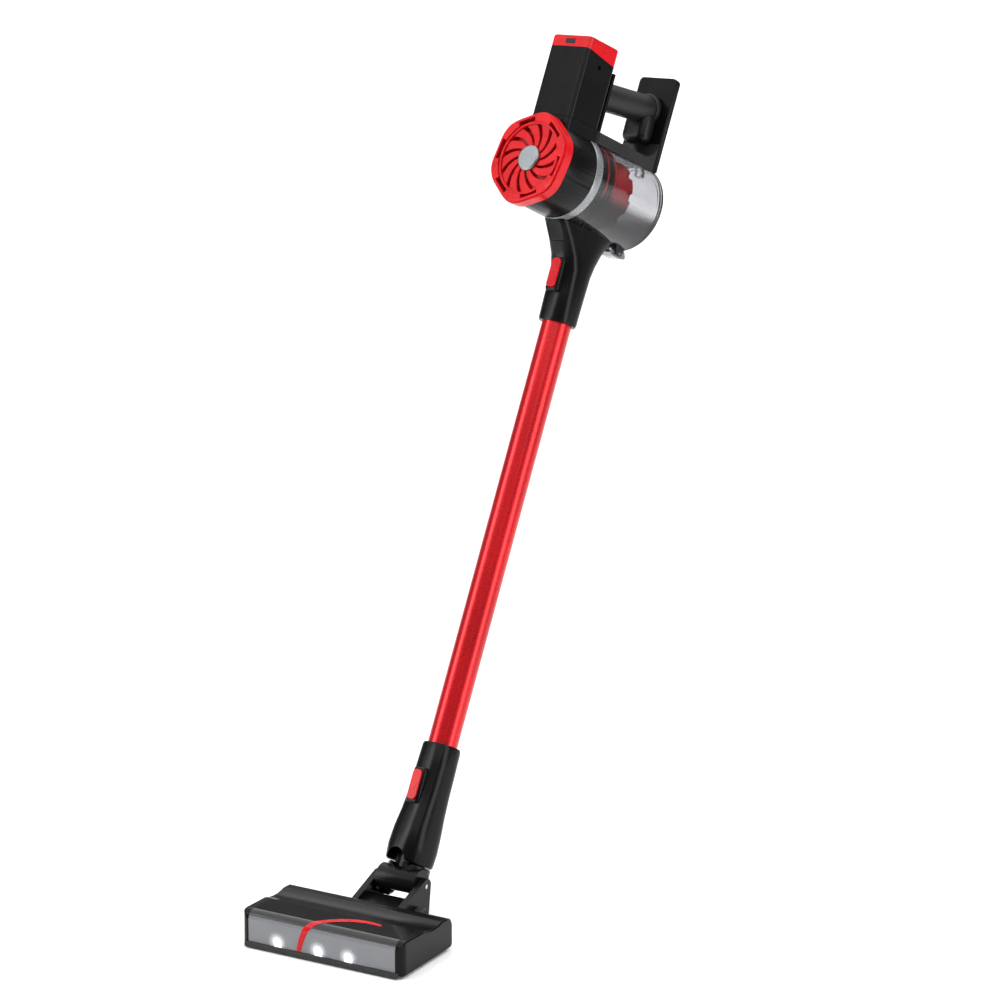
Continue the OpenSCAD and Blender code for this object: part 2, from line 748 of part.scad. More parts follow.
// Red bell of the cyclone with a scalloped skirt
module cyclone_cone() {
    color([0.8, 0.04, 0.06]) in_hand() difference() {
        union() {
            translate([0, -14, 0]) rotate([-90, 0, 0]) cylinder(r1 = 36, r2 = 47, h = 28);
            y_cyl(47, 13.9, 20);
            translate([0, 19.9, 0]) rotate([-90, 0, 0]) cylinder(r1 = 44, r2 = 18, h = 24);
        }
        translate([0, -15, 0]) rotate([-90, 0, 0]) cylinder(r1 = 33.4, r2 = 43.8, h = 28.5);
        y_cyl(33.3, -15, 15);
        for (i = [0:9]) rotate([0, 36 * i, 0]) translate([47, 0, 0]) y_cyl(5, 12, 30);
    }
}
module dust_cup() {
    color([0.75, 0.78, 0.8, 0.3]) in_hand() difference() {
        union() {
            y_cyl(barrel_r, rim_l - cup_joint, cup_end);
            for (s = [0, 1]) mirror([s, 0, 0]) {
                difference() {
                    box([5, cup_end - 4, barrel_r - 7], [11, lid_pin_v + 3, lid_pin_w + 3]);
                    y_cyl(bore_r, 0, 200);
                    box([0, cup_end, 0], [20, lid_pin_v + 10, barrel_r - 0.4]);
                }
                box([latch_half + 0.4, latch_v - 8, latch_w - 3], [latch_half + 3.4, cup_end - 0.4, 7 - barrel_r]);
            }
        }
        y_cyl(bore_r, -100, cup_end + e);
        box([-12, cup_end, 0], [12, cup_back + 0.4, barrel_r + 0.4]);
        translate([0, lid_pin_v, lid_pin_w]) x_cyl(lid_pin_r, -20, 20);
        translate([0, latch_v, latch_w]) x_cyl(2 + run_gap, -20, 20);
        translate([0, 0, -100]) cylinder(r = duct_r - 1, h = 80);
    }
}
module cup_rim() {
    color([0.5, 0.52, 0.54, 0.7]) in_hand()
        y_ring(barrel_r, bore_r, -cup_joint + 0.2, rim_l - cup_joint);
}
module cup_lid() {
    color([0.6, 0.63, 0.66, 0.4]) in_hand() difference() {
        union() {
            rotate([-90, 0, 0]) rotate_extrude()
                polygon([[0, cup_end + 0.2], [barrel_r - 0.2, cup_end + 0.2], [barrel_r - 0.2, cup_back - lid_chamfer],
                    [barrel_r - 0.2 - lid_chamfer, cup_back], [0, cup_back]]);
            y_ring(bore_r - 0.5, bore_r - 4, cup_end - 3, cup_end + 1);
            box([-4.7, cup_back - 3, barrel_r - 13], [4.7, lid_pin_v + 3, lid_pin_w + 3]);
        }
        translate([0, lid_pin_v, lid_pin_w]) x_cyl(lid_pin_r + run_gap, -20, 20);
        box([-20, cup_end - 6, barrel_r - 0.2], [20, cup_back + 0.4, barrel_r + 23]);
    }
}
module lid_hinge_pin() {
    color([0.75, 0.75, 0.77]) in_hand() translate([0, lid_pin_v, lid_pin_w]) x_cyl(lid_pin_r, -11.5, 11.5);
}
module lid_latch() {
    color([0.55, 0.56, 0.58]) in_hand() translate([0, latch_v, latch_w]) union() {
        x_extrude(-latch_half, latch_half) polygon([[-15.5, -2.5], [-15.5, 1], [-5, 2.6], [cup_back - latch_v + latch_gap, 2.6],
            [cup_back - latch_v + latch_gap, latch_hook], [cup_back - latch_v + 3.5, latch_hook - 1], [15, -1], [13, -3.5],
            [6, -5], [-7, -5]]);
        x_cyl(2, -latch_half - 3, latch_half + 3);
    }
}

// ---- exhaust filter and cover ----
module hepa_filter() {
    color([0.9, 0.9, 0.88]) in_hand() {
        y_ring(filter_r, filter_r - 5, -barrel_front + 1, -barrel_front + 13);
        difference() {
            y_cyl(filter_r - 4.9, -barrel_front + 2, -barrel_front + 12);
            for (i = [-11:11]) translate([4 * i, 0, 0])
                box([-1, -barrel_front, -barrel_r], [1, -barrel_front + 4.5, barrel_r]);
        }
    }
}
// Radius of the lobed cover at an angle
function lobe(a) = barrel_r + 2.2 + 1.8 * cos(lobes * (a - 20));
module filter_cover() {
    color([0.85, 0.05, 0.06]) in_hand() difference() {
        union() {
            translate([0, -barrel_front - 0.2, 0]) rotate([90, 0, 0]) linear_extrude(cover_t - 3)
                polygon([for (a = [0:5:355]) lobe(a) * [cos(a), sin(a)]]);
            translate([0, -barrel_front - cover_t + 2.9, 0]) rotate([90, 0, 0]) linear_extrude(2.9)
                polygon([for (a = [0:5:355]) (lobe(a) - 2) * [cos(a), sin(a)]]);
            y_cyl(bore_r - 0.4, -barrel_front - 1, -barrel_front + 0.8);
        }
        y_cyl(fan_r + 0.2, -cover_front - 1, 0);
        for (i = [0:lobes - 1]) rotate([0, -50 - 60 * i, 0]) {
            box([fan_r - 1, -cover_front - 1, -13], [fan_r + 4.5, -barrel_front - 3, 13]);
        }
    }
}
// Outline of one curved blade, swept 36 degrees from hub to rim and 20 degrees wide
module blade_outline() {
    steps = 8;
    reach = fan_r - 1 - (hub_r - 1);
    polygon([for (i = [0:2 * steps + 1]) let (out = i <= steps ? i : 2 * steps + 1 - i, a = 36 * out / steps + (i <= steps ? 0 : 20))
        (hub_r - 1 + reach * out / steps) * [cos(a), sin(a)]]);
}
// Blades in two layers, the back ones behind the gaps of the front ones
module fan_grille() {
    step = 360 / vanes;
    color([0.8, 0.04, 0.05]) in_hand() difference() {
        union() {
            y_ring(fan_r, fan_r - 3, -cover_front + 2, -barrel_front - 3);
            y_cyl(hub_r, -cover_front + 4, -barrel_front - 3);
            for (i = [0:vanes - 1]) {
                y_extrude(-cover_front + 4, -cover_front + 7) rotate(step * i) blade_outline();
                y_extrude(-barrel_front - 5, -barrel_front - 3) rotate(step * (i + 0.5)) blade_outline();
            }
        }
        y_ring(fan_r + 30, fan_r, -200, 0);
    }
}
module hub_cap() {
    color([0.75, 0.77, 0.78]) in_hand() union() {
        y_cyl(hub_r, -cover_front + 1.5, -cover_front + 4);
        translate([0, -cover_front + 1.5, 0]) rotate([90, 0, 0]) cylinder(r1 = hub_r, r2 = hub_r - 2, h = 1.5);
    }
}

// ---- battery ----
module battery_dock() {
    half = battery_w / 2;
    color([0.06, 0.06, 0.065]) in_hand() difference() {
        union() {
            translate([0, 0, 30]) linear_extrude(deck_top - 30) round_rect([-half, -dock_front], [half, -dock_back], 5);
            box([-half + 1, -dock_back - 4, 40], [half - 1, -dock_back, battery_top - cap_back_h - 6]);
        }
        y_cyl(barrel_r + 0.1, -200, -cup_joint);
        y_cyl(barrel_r + 0.4, -cup_joint - e, 200);
    }
}
module battery_case() {
    half = battery_w / 2;
    color([0.07, 0.07, 0.075]) in_hand() difference() {
        intersection() {
            translate([0, 0, case_floor]) linear_extrude(battery_top) round_rect([-half, -dock_front], [half, battery_d - dock_front], 6);
            cap_cut(-0.1);
        }
        difference() {
            translate([0, 0, case_floor + case_wall]) linear_extrude(battery_top)
                round_rect([case_wall - half, case_wall - dock_front], [half - case_wall, battery_d - dock_front - case_wall], 4);
            translate([0, jack_v, jack_w]) x_cyl(jack_r + 1.8, half - jack_l, half);
        }
        translate([0, jack_v, jack_w]) x_cyl(jack_r, half - jack_l + 1, half + 1);
    }
}
// Everything below the slanted joint between case and cap, raised by lift
module cap_cut(lift) {
    x_extrude(-100, 100) polygon([[-dock_front - 50, 0], [-dock_front, battery_top - cap_front_h + lift],
        [battery_d - dock_front, battery_top - cap_back_h + lift], [50, 0]]);
}
module battery_cap() {
    half = battery_w / 2;
    color([0.85, 0.05, 0.06]) in_hand() difference() {
        union() {
            translate([0, 0, battery_top - 69]) linear_extrude(67.5)
                round_rect([-half, -dock_front], [half, battery_d - dock_front], 6);
            translate([0, 0, battery_top - 1.6]) linear_extrude(1.6)
                round_rect([1.5 - half, 1.5 - dock_front], [half - 1.5, battery_d - dock_front - 1.5], 4.5);
        }
        cap_cut(0.1);
        translate([0, 0, battery_top - 79]) linear_extrude(76)
            round_rect([3 - half, 3 - dock_front], [half - 3, battery_d - dock_front - 3], 3);
        y_extrude(-dock_front - 1, 4 - dock_front) round_rect([-8.3, battery_top - 11.3], [8.3, battery_top - 4.7], 2.5);
    }
}
module battery_cells() {
    color([0.1, 0.45, 0.7]) in_hand() for (i = [-1:1], j = [0, 1])
        translate([19.4 * i, -dock_front + 13 + 19.4 * j, case_floor + case_wall + 0.5]) {
            cylinder(r = 9.2, h = 64);
            cylinder(r = 3, h = 65);
        }
}
module battery_button() {
    color([0.1, 0.1, 0.1]) in_hand() y_extrude(0.4 - dock_front, 5 - dock_front)
        round_rect([-8, battery_top - 11], [8, battery_top - 5], 2.2);
}

// ---- handle ----
module handle_deck() {
    half = deck_w / 2;
    bend = 22;
    color([0.08, 0.08, 0.085]) in_hand() difference() {
        union() {
            x_extrude(-half, half) difference() {
                polygon([[-dock_back + 0.1, 20], [-dock_back + 0.1, deck_top], [panel_v0 - bend, deck_top],
                    [panel_v0 - bend, deck_top + bend], [panel_v0 - 0.1, deck_top + bend], [panel_v0 - 0.1, 20]]);
                translate([panel_v0 - bend - 0.1, deck_top + bend]) circle(bend);
            }
        }
        y_cyl(barrel_r + 0.4, -200, 200);
        box([-100, -100, 0], [100, 100, 30]);
    }
}
module handle_grip() {
    color([0.09, 0.09, 0.095]) in_hand() difference() {
        translate([0, grip_v, grip_h]) rotate([grip_rise, 0, 0]) y_ring(grip_r, grip_r - 3.4, -80, 80);
        box([-60, -300, 0], [60, -dock_back + 0.1, 300]);
        box([-60, panel_v0 - 0.1, 0], [60, 300, 300]);
    }
}
// Outline of the back panel in X and Z
module panel_area(inset) {
    difference() {
        round_rect([inset - deck_w / 2, 20], [deck_w / 2 - inset, panel_top - inset], 6);
        circle(barrel_r + 0.4 + inset);
        square([2 * (notch_half + inset), 2 * (lid_pin_w + 6 + inset)], center = true);
        translate([-60, 0]) square([120, barrel_r - 11]);
    }
}
module rear_panel() {
    color([0.05, 0.05, 0.055]) in_hand() difference() {
        y_extrude(panel_v0, cup_back - fascia_t) panel_area(0);
        y_extrude(panel_v0 + 2, cup_back) panel_area(2.4);
    }
}
module panel_fascia() {
    color([0.03, 0.03, 0.035]) in_hand() difference() {
        y_extrude(cup_back - fascia_t + 0.1, cup_back) panel_area(0.4);
        for (p = button_at) translate([p[0], 0, deck_top + p[1]]) y_cyl(8 + slip_gap, 0, 200);
    }
}
module control_board() {
    color([0.05, 0.35, 0.15]) in_hand() box([-22, panel_v0 + 2.3, deck_top + 21], [22, panel_v0 + 3.7, deck_top + 97]);
}
module panel_button(i) {
    color([0.15, 0.15, 0.16]) in_hand() translate([button_at[i][0], 0, deck_top + button_at[i][1]])
        y_cyl(8, cup_back - fascia_t + 0.1, cup_back + 0.8);
}
module power_button() {
    panel_button(1);
}
module speed_button() {
    panel_button(0);
}

head_shell();
sole_plate();
end_cap_left();
end_cap_right();
brush_window();
accent_strip();
front_bumper();
led_lenses();
glide_strip();
neck_base();
brush_motor();
drive_belt();
head_screws();
brush_core();
brush_fleece();
brush_strip();
brush_pulley();
motor_pulley();
wheel_left();
wheel_right();
neck_yoke();
pitch_pins();
swivel_seal();
lower_connector();
swivel_clip();
lower_button();
wand_tube();
wand_socket();
upper_button();
motor_barrel();
barrel_grille();
motor_case();
motor_mounts();
impeller();
rotor_shaft();
cyclone_base();
cyclone_seals();
cyclone_screen();
cyclone_cone();
dust_cup();
cup_rim();
cup_lid();
lid_hinge_pin();
lid_latch();
hepa_filter();
filter_cover();
fan_grille();
hub_cap();
battery_dock();
battery_case();
battery_cap();
battery_cells();
battery_button();
handle_deck();
handle_grip();
rear_panel();
panel_fascia();
control_board();
power_button();
speed_button();
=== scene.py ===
import json
import math

import bmesh
import bpy
from mathutils import Matrix, Vector


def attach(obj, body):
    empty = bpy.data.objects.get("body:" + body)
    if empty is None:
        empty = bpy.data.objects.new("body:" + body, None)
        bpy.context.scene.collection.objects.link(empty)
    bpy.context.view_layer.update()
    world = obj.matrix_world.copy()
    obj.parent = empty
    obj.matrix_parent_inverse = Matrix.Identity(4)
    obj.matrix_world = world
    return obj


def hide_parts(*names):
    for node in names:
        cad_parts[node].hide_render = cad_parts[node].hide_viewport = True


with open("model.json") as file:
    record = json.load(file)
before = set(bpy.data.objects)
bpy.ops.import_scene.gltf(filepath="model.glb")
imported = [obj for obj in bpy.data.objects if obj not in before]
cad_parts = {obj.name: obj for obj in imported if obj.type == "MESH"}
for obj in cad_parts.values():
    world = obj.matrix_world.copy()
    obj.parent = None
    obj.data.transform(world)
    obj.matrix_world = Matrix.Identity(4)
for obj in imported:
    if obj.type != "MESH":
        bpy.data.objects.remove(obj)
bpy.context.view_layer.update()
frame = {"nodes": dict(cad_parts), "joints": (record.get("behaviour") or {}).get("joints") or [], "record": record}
nodes = frame["nodes"]
joints = {joint["name"]: joint for joint in frame["joints"]}
print("frame loaded:", len(nodes), "nodes")

mm = 0.001
sharpAngle = 32


def axisOf(jointName):
    return Vector(joints[jointName]["axis"]).normalized()


wandUp = axisOf("neck_steer")
unitBack = axisOf("rotor_spin")
unitRight = unitBack.cross(wandUp).normalized()
wandFoot = Vector(joints["neck_steer"]["pos_m"])
barrelPoint = Vector(joints["rotor_spin"]["pos_m"])
# The point of the barrel's axis that stands over the wand's axis
barrelCentre = barrelPoint + unitBack * (wandFoot - barrelPoint).dot(unitBack)


def frameAt(origin, right, back, up):
    matrix = Matrix((right, back, up)).transposed().to_4x4()
    matrix.translation = origin
    return matrix


handFrame = frameAt(barrelCentre, unitRight, unitBack, wandUp)
wandFrame = frameAt(wandFoot, unitRight, unitBack, wandUp)


def localBox(nodeName, space):
    inverse = space.inverted()
    points = [inverse @ vertex.co for vertex in nodes[nodeName].data.vertices]
    low = Vector([min(p[i] for p in points) for i in range(3)])
    high = Vector([max(p[i] for p in points) for i in range(3)])
    return low, high


def newMaterial(name):
    material = bpy.data.materials.new(name)
    material.use_nodes = True
    tree = material.node_tree
    shader = tree.nodes["Principled BSDF"]
    return material, tree, shader


def addNode(tree, kind, **values):
    made = tree.nodes.new(kind)
    for key, value in values.items():
        if key in made.inputs:
            made.inputs[key].default_value = value
        else:
            setattr(made, key, value)
    return made


def objectPoint(tree, stretch=(1, 1, 1)):
    coordinate = addNode(tree, "ShaderNodeTexCoord")
    mapping = addNode(tree, "ShaderNodeMapping")
    mapping.inputs["Scale"].default_value = stretch
    tree.links.new(coordinate.outputs["Object"], mapping.inputs["Vector"])
    return mapping.outputs["Vector"]


def ramp(tree, source, stops):
    made = addNode(tree, "ShaderNodeValToRGB")
    while len(made.color_ramp.elements) < len(stops):
        made.color_ramp.elements.new(0.5)
    for element, (place, colour) in zip(made.color_ramp.elements, stops):
        element.position = place
        element.color = colour
    tree.links.new(source, made.inputs["Fac"])
    return made


def grey(value):
    return (value, value, value, 1)


# Moulded plastic: a fine grain, soft blotches of gloss and faint colour variation
def mouldedPlastic(name, colour, rough, grain=0.15, grainSize=2600, coat=0.0, spread=0.35, metallic=0.0,
                   shine=0.5):
    material, tree, shader = newMaterial(name)
    point = objectPoint(tree)
    blotch = addNode(tree, "ShaderNodeTexNoise", Scale=24.0, Detail=5.0, Roughness=0.6)
    fine = addNode(tree, "ShaderNodeTexNoise", Scale=float(grainSize), Detail=2.0, Roughness=0.5)
    tree.links.new(point, blotch.inputs["Vector"])
    tree.links.new(point, fine.inputs["Vector"])
    dark = tuple(c * (1 - spread * 0.4) for c in colour) + (1,)
    light = tuple(min(1, c * (1 + spread * 0.4)) for c in colour) + (1,)
    tint = ramp(tree, blotch.outputs["Fac"], [(0.3, dark), (0.7, light)])
    gloss = ramp(tree, blotch.outputs["Fac"],
                 [(0.25, grey(rough * 0.82)), (0.75, grey(min(1, rough * 1.2)))])
    bump = addNode(tree, "ShaderNodeBump", Strength=grain, Distance=0.0002)
    tree.links.new(fine.outputs["Fac"], bump.inputs["Height"])
    tree.links.new(tint.outputs["Color"], shader.inputs["Base Color"])
    tree.links.new(gloss.outputs["Color"], shader.inputs["Roughness"])
    tree.links.new(bump.outputs["Normal"], shader.inputs["Normal"])
    shader.inputs["Coat Weight"].default_value = coat
    shader.inputs["Coat Roughness"].default_value = 0.08
    shader.inputs["Metallic"].default_value = metallic
    shader.inputs["Specular IOR Level"].default_value = shine
    return material


# Metal with fine drawn lines along one axis of the object
def drawnMetal(name, colour, rough, stretch=(60, 60, 2), scale=18.0, coat=0.0, metallic=1.0,
               bumpStrength=0.08):
    material, tree, shader = newMaterial(name)
    point = objectPoint(tree, stretch)
    lines = addNode(tree, "ShaderNodeTexNoise", Scale=scale, Detail=4.0, Roughness=0.65)
    tree.links.new(point, lines.inputs["Vector"])
    wide = addNode(tree, "ShaderNodeTexNoise", Scale=9.0, Detail=3.0, Roughness=0.5)
    tree.links.new(objectPoint(tree), wide.inputs["Vector"])
    dark = tuple(c * 0.86 for c in colour) + (1,)
    light = tuple(min(1, c * 1.1) for c in colour) + (1,)
    tint = ramp(tree, wide.outputs["Fac"], [(0.3, dark), (0.7, light)])
    gloss = ramp(tree, lines.outputs["Fac"], [(0.3, grey(rough * 0.75)), (0.7, grey(rough * 1.25))])
    bump = addNode(tree, "ShaderNodeBump", Strength=bumpStrength, Distance=0.0002)
    tree.links.new(lines.outputs["Fac"], bump.inputs["Height"])
    tree.links.new(tint.outputs["Color"], shader.inputs["Base Color"])
    tree.links.new(gloss.outputs["Color"], shader.inputs["Roughness"])
    tree.links.new(bump.outputs["Normal"], shader.inputs["Normal"])
    shader.inputs["Metallic"].default_value = metallic
    shader.inputs["Coat Weight"].default_value = coat
    shader.inputs["Coat Roughness"].default_value = 0.05
    return material


# See-through plastic whose tint changes along a direction, from one distance to another
def seeThroughPlastic(name, tone, direction, middle, flowScale, clearness):
    material, tree, shader = newMaterial(name)
    point = objectPoint(tree)
    height = addNode(tree, "ShaderNodeVectorMath", operation="DOT_PRODUCT")
    height.inputs[1].default_value = direction
    tree.links.new(point, height.inputs[0])
    place = addNode(tree, "ShaderNodeMapRange")
    place.inputs["From Min"].default_value = middle + tone["from"]
    place.inputs["From Max"].default_value = middle + tone["to"]
    tree.links.new(height.outputs["Value"], place.inputs["Value"])
    tint = ramp(tree, place.outputs["Result"], [(0.0, tone["low"] + (1,)), (1.0, tone["high"] + (1,))])
    flow = addNode(tree, "ShaderNodeTexNoise", Scale=flowScale, Detail=4.0, Roughness=0.55)
    tree.links.new(point, flow.inputs["Vector"])
    rough = tone["rough"]
    gloss = ramp(tree, flow.outputs["Fac"], [(0.3, grey(rough * 0.6)), (0.75, grey(rough * 1.6))])
    tree.links.new(tint.outputs["Color"], shader.inputs["Base Color"])
    tree.links.new(gloss.outputs["Color"], shader.inputs["Roughness"])
    shader.inputs["Transmission Weight"].default_value = clearness
    shader.inputs["IOR"].default_value = 1.46
    return material


# Woven or brushed cloth: two crossed waves and a soft fuzz
def cloth(name, colour, scale=900.0, rough=0.9):
    material, tree, shader = newMaterial(name)
    point = objectPoint(tree)
    weave = addNode(tree, "ShaderNodeTexWave", Scale=scale, Distortion=1.5, Detail=2.0)
    tree.links.new(point, weave.inputs["Vector"])
    fuzz = addNode(tree, "ShaderNodeTexNoise", Scale=scale * 1.7, Detail=4.0, Roughness=0.7)
    tree.links.new(point, fuzz.inputs["Vector"])
    dark = tuple(c * 0.6 for c in colour) + (1,)
    light = tuple(min(1, c * 1.3) for c in colour) + (1,)
    tint = ramp(tree, fuzz.outputs["Fac"], [(0.35, dark), (0.65, light)])
    bump = addNode(tree, "ShaderNodeBump", Strength=0.6, Distance=0.0005)
    tree.links.new(weave.outputs["Fac"], bump.inputs["Height"])
    tree.links.new(tint.outputs["Color"], shader.inputs["Base Color"])
    tree.links.new(bump.outputs["Normal"], shader.inputs["Normal"])
    shader.inputs["Roughness"].default_value = rough
    shader.inputs["Sheen Weight"].default_value = 0.4
    return material


# Painted reflection and shade: the cup is light above the middle of the barrel and dark below it, standing in for
# a reflection on its upper half; the window is near black on top
cupReflectionTone = {"high": (0.70, 0.70, 0.72), "low": (0.12, 0.12, 0.13), "from": -0.022, "to": -0.008,
           "rough": 0.04}
windowTone = {"high": (0.012, 0.012, 0.014), "low": (0.42, 0.43, 0.45), "from": 0.0405, "to": 0.0425,
              "rough": 0.07}
lampBrightness = 14.0

blackGloss = mouldedPlastic("blackGlossPlastic", (0.004, 0.004, 0.0045), 0.24, grain=0.05, shine=0.12)
blackSatin = mouldedPlastic("blackSatinPlastic", (0.006, 0.006, 0.0065), 0.36, grain=0.12, shine=0.18)
blackMatte = mouldedPlastic("blackGrainedPlastic", (0.009, 0.009, 0.0095), 0.45, grain=0.3, grainSize=1800,
                            shine=0.3)
greyPlastic = drawnMetal("greyMetallicPlastic", (0.24, 0.25, 0.26), 0.26, stretch=(8, 8, 8), scale=6.0,
                         metallic=0.5, bumpStrength=0.0)
redGloss = mouldedPlastic("redGlossPlastic", (0.52, 0.003, 0.007), 0.28, grain=0.04, coat=0.06, shine=0.22)
redPaint = drawnMetal("redAnodisedTube", (0.50, 0.003, 0.007), 0.30, coat=0.12, metallic=0.6)
# The cup's tint is painted reflection: light above the barrel's middle, dark below it
clearCup = seeThroughPlastic("clearCupPlastic", cupReflectionTone, wandUp, barrelCentre.dot(wandUp), 14.0, 1.0)
smokeWindow = seeThroughPlastic("smokedWindowPlastic", windowTone, Vector((0, 0, 1)), 0.0, 16.0, 0.62)
brightSteel = drawnMetal("brightSteel", (0.62, 0.62, 0.64), 0.25)
castAlloy = drawnMetal("turnedAlloy", (0.26, 0.28, 0.29), 0.34, stretch=(6, 6, 6), bumpStrength=0.03)
blackRubber = mouldedPlastic("blackRubber", (0.012, 0.012, 0.012), 0.7, grain=0.5, grainSize=1400)
redRubber = mouldedPlastic("redSilicone", (0.55, 0.012, 0.016), 0.5, grain=0.2)
fleece = cloth("brushFleece", (0.035, 0.035, 0.04))
redBristle = cloth("redBristles", (0.50, 0.01, 0.02), 1500.0)
filterPaper = cloth("pleatedPaper", (0.80, 0.80, 0.76), 1200.0)
greyFelt = cloth("greyFelt", (0.05, 0.05, 0.052), 700.0, 1.0)
lampLens = mouldedPlastic("lampLens", (0.92, 0.95, 1.0), 0.2, grain=0.02)
lensShader = lampLens.node_tree.nodes["Principled BSDF"]
lensShader.inputs["Emission Color"].default_value = (0.9, 0.95, 1.0, 1)
lensShader.inputs["Emission Strength"].default_value = lampBrightness
cellWrap = mouldedPlastic("cellWrap", (0.03, 0.18, 0.42), 0.3, coat=0.3)
circuitBoard = mouldedPlastic("circuitBoard", (0.01, 0.12, 0.04), 0.45, coat=0.3)
motorSteel = drawnMetal("motorSteel", (0.20, 0.20, 0.22), 0.4, stretch=(2, 60, 2))

finishes = {
    "black_gloss": blackGloss, "black_matte": blackMatte, "grey_plastic": greyPlastic,
    "red_gloss": redGloss, "red_paint": redPaint, "clear": clearCup, "smoke": smokeWindow,
    "steel": brightSteel, "alloy": castAlloy, "rubber": blackRubber, "red_rubber": redRubber,
    "fleece": fleece, "red_bristle": redBristle, "filter": filterPaper, "white_lens": lampLens,
    "felt": greyFelt, "cell_wrap": cellWrap, "board": circuitBoard, "magnet": motorSteel,
}
slotOf = {part["node"]: part["material_slot"] for part in frame["record"]["subparts"]}
for nodeName, thing in nodes.items():
    thing.data.materials.clear()
    thing.data.materials.append(finishes[slotOf[nodeName]])
print("finishes set on", len(nodes), "nodes")


softAngle = 35
weldGap = 0.00002


# Rounds the edges of a carried-over piece with modifiers, so its mesh stays as it is
def soften(nodeName, width, segments=3):
    thing = nodes[nodeName]
    weld = thing.modifiers.new("weld", "WELD")
    weld.merge_threshold = weldGap
    bevel = thing.modifiers.new("bevel", "BEVEL")
    bevel.width = width * mm
    bevel.segments = segments
    bevel.limit_method = "ANGLE"
    bevel.angle_limit = math.radians(softAngle)
    bevel.use_clamp_overlap = True
    bevel.harden_normals = True


edgeRadii = {
    "battery_case": 1.2, "battery_cap": 1.0, "battery_dock": 0.8, "handle_deck": 1.5,
    "rear_panel": 1.0, "panel_fascia": 0.6, "motor_barrel": 0.5, "cup_rim": 0.4, "lid_latch": 0.8,
    "filter_cover": 1.0, "fan_grille": 0.5, "hub_cap": 0.6, "lower_button": 1.2,
    "upper_button": 1.2, "neck_base": 1.4, "neck_yoke": 0.9, "head_shell": 0.5,
    "end_cap_left": 0.7, "end_cap_right": 0.7, "front_bumper": 0.6, "wheel_left": 0.8,
    "wheel_right": 0.8, "sole_plate": 0.4, "accent_strip": 0.3, "power_button": 0.3,
    "speed_button": 0.3, "battery_button": 0.5, "cup_lid": 0.4,
}
for nodeName, radius in edgeRadii.items():
    soften(nodeName, radius)
print("edges rounded on", len(edgeRadii), "carried-over pieces")


# Turns a bmesh into a smooth-shaded object, with creases where faces meet at more than sharpAngle
def makeObject(name, shape):
    bmesh.ops.recalc_face_normals(shape, faces=shape.faces)
    mesh = bpy.data.meshes.new(name)
    shape.to_mesh(mesh)
    shape.free()
    mesh.polygons.foreach_set("use_smooth", [True] * len(mesh.polygons))
    mesh.set_sharp_from_angle(angle=math.radians(sharpAngle))
    thing = bpy.data.objects.new(name, mesh)
    bpy.context.collection.objects.link(thing)
    return thing


# Skin over rings of points given in millimetres in the frame called space
def loft(name, space, rings):
    shape = bmesh.new()
    rows = [[shape.verts.new(space @ (Vector(point) * mm)) for point in ring] for ring in rings]
    count = len(rows[0])
    for lower, upper in zip(rows, rows[1:]):
        for k in range(count):
            after = (k + 1) % count
            shape.faces.new((lower[k], lower[after], upper[after], upper[k]))
    shape.faces.new(rows[0])
    shape.faces.new(list(reversed(rows[-1])))
    return makeObject(name, shape)


# Ring at height w: a rounded square whose sides flatten as the power grows
def roundedRing(w, half, front, back, power, count=80):
    middle, reach = (front + back) / 2, (back - front) / 2
    ring = []
    for k in range(count):
        angle = math.tau * (k + 0.5) / count
        c, s = math.cos(angle), math.sin(angle)
        ring.append((math.copysign(half * abs(c) ** (2 / power), c),
                     middle + math.copysign(reach * abs(s) ** (2 / power), s), w))
    return ring


# Cylinder between two places along "u", "v" or "w", in millimetres
def rod(name, space, along, centre, radius, start, end, count=96):
    order = {"u": (1, 2, 0), "v": (2, 0, 1), "w": (0, 1, 2)}[along]
    rings = []
    for place in (start, end):
        ring = []
        for k in range(count):
            angle = math.tau * k / count
            local = [0, 0, 0]
            local[order[0]] = centre[0] + radius * math.cos(angle)
            local[order[1]] = centre[1] + radius * math.sin(angle)
            local[order[2]] = place
            ring.append(local)
        rings.append(ring)
    return loft(name, space, rings)


# Box with round edges between two corners given in millimetres
def roundedBox(name, space, low, high, radius, segments=5):
    shape = bmesh.new()
    bmesh.ops.create_cube(shape, size=1)
    for vertex in shape.verts:
        local = [low[i] if vertex.co[i] < 0 else high[i] for i in range(3)]
        vertex.co = space @ (Vector(local) * mm)
    bmesh.ops.bevel(shape, geom=list(shape.edges), offset=radius * mm, segments=segments,
                    affect="EDGES", profile=0.5)
    return makeObject(name, shape)


# Cuts others out of one mesh, or joins them to it, and removes them
def combine(thing, others, operation="DIFFERENCE"):
    for other in others:
        step = thing.modifiers.new("combine", "BOOLEAN")
        step.operation = operation
        step.solver = "EXACT"
        step.object = other
    view = bpy.context.evaluated_depsgraph_get()
    mesh = bpy.data.meshes.new_from_object(thing.evaluated_get(view))
    thing.modifiers.clear()
    thing.data = mesh
    mesh.polygons.foreach_set("use_smooth", [True] * len(mesh.polygons))
    mesh.set_sharp_from_angle(angle=math.radians(sharpAngle))
    for other in others:
        bpy.data.objects.remove(other)


def roundEdges(thing, width, segments=3):
    bevel = thing.modifiers.new("bevel", "BEVEL")
    bevel.width = width * mm
    bevel.segments = segments
    bevel.limit_method = "ANGLE"
    bevel.angle_limit = math.radians(sharpAngle)
    bevel.use_clamp_overlap = True


def finishPiece(thing, body, material, replaced=()):
    thing.data.materials.clear()
    thing.data.materials.append(material)
    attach(thing, body)
    if replaced:
        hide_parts(*replaced)


def boxInMm(nodeName, space):
    low, high = localBox(nodeName, space)
    return low / mm, high / mm


tubeRadius = boxInMm("wand_tube", wandFrame)[1].x
barrelLow, barrelHigh = boxInMm("motor_barrel", handFrame)
barrelRadius = barrelHigh.x


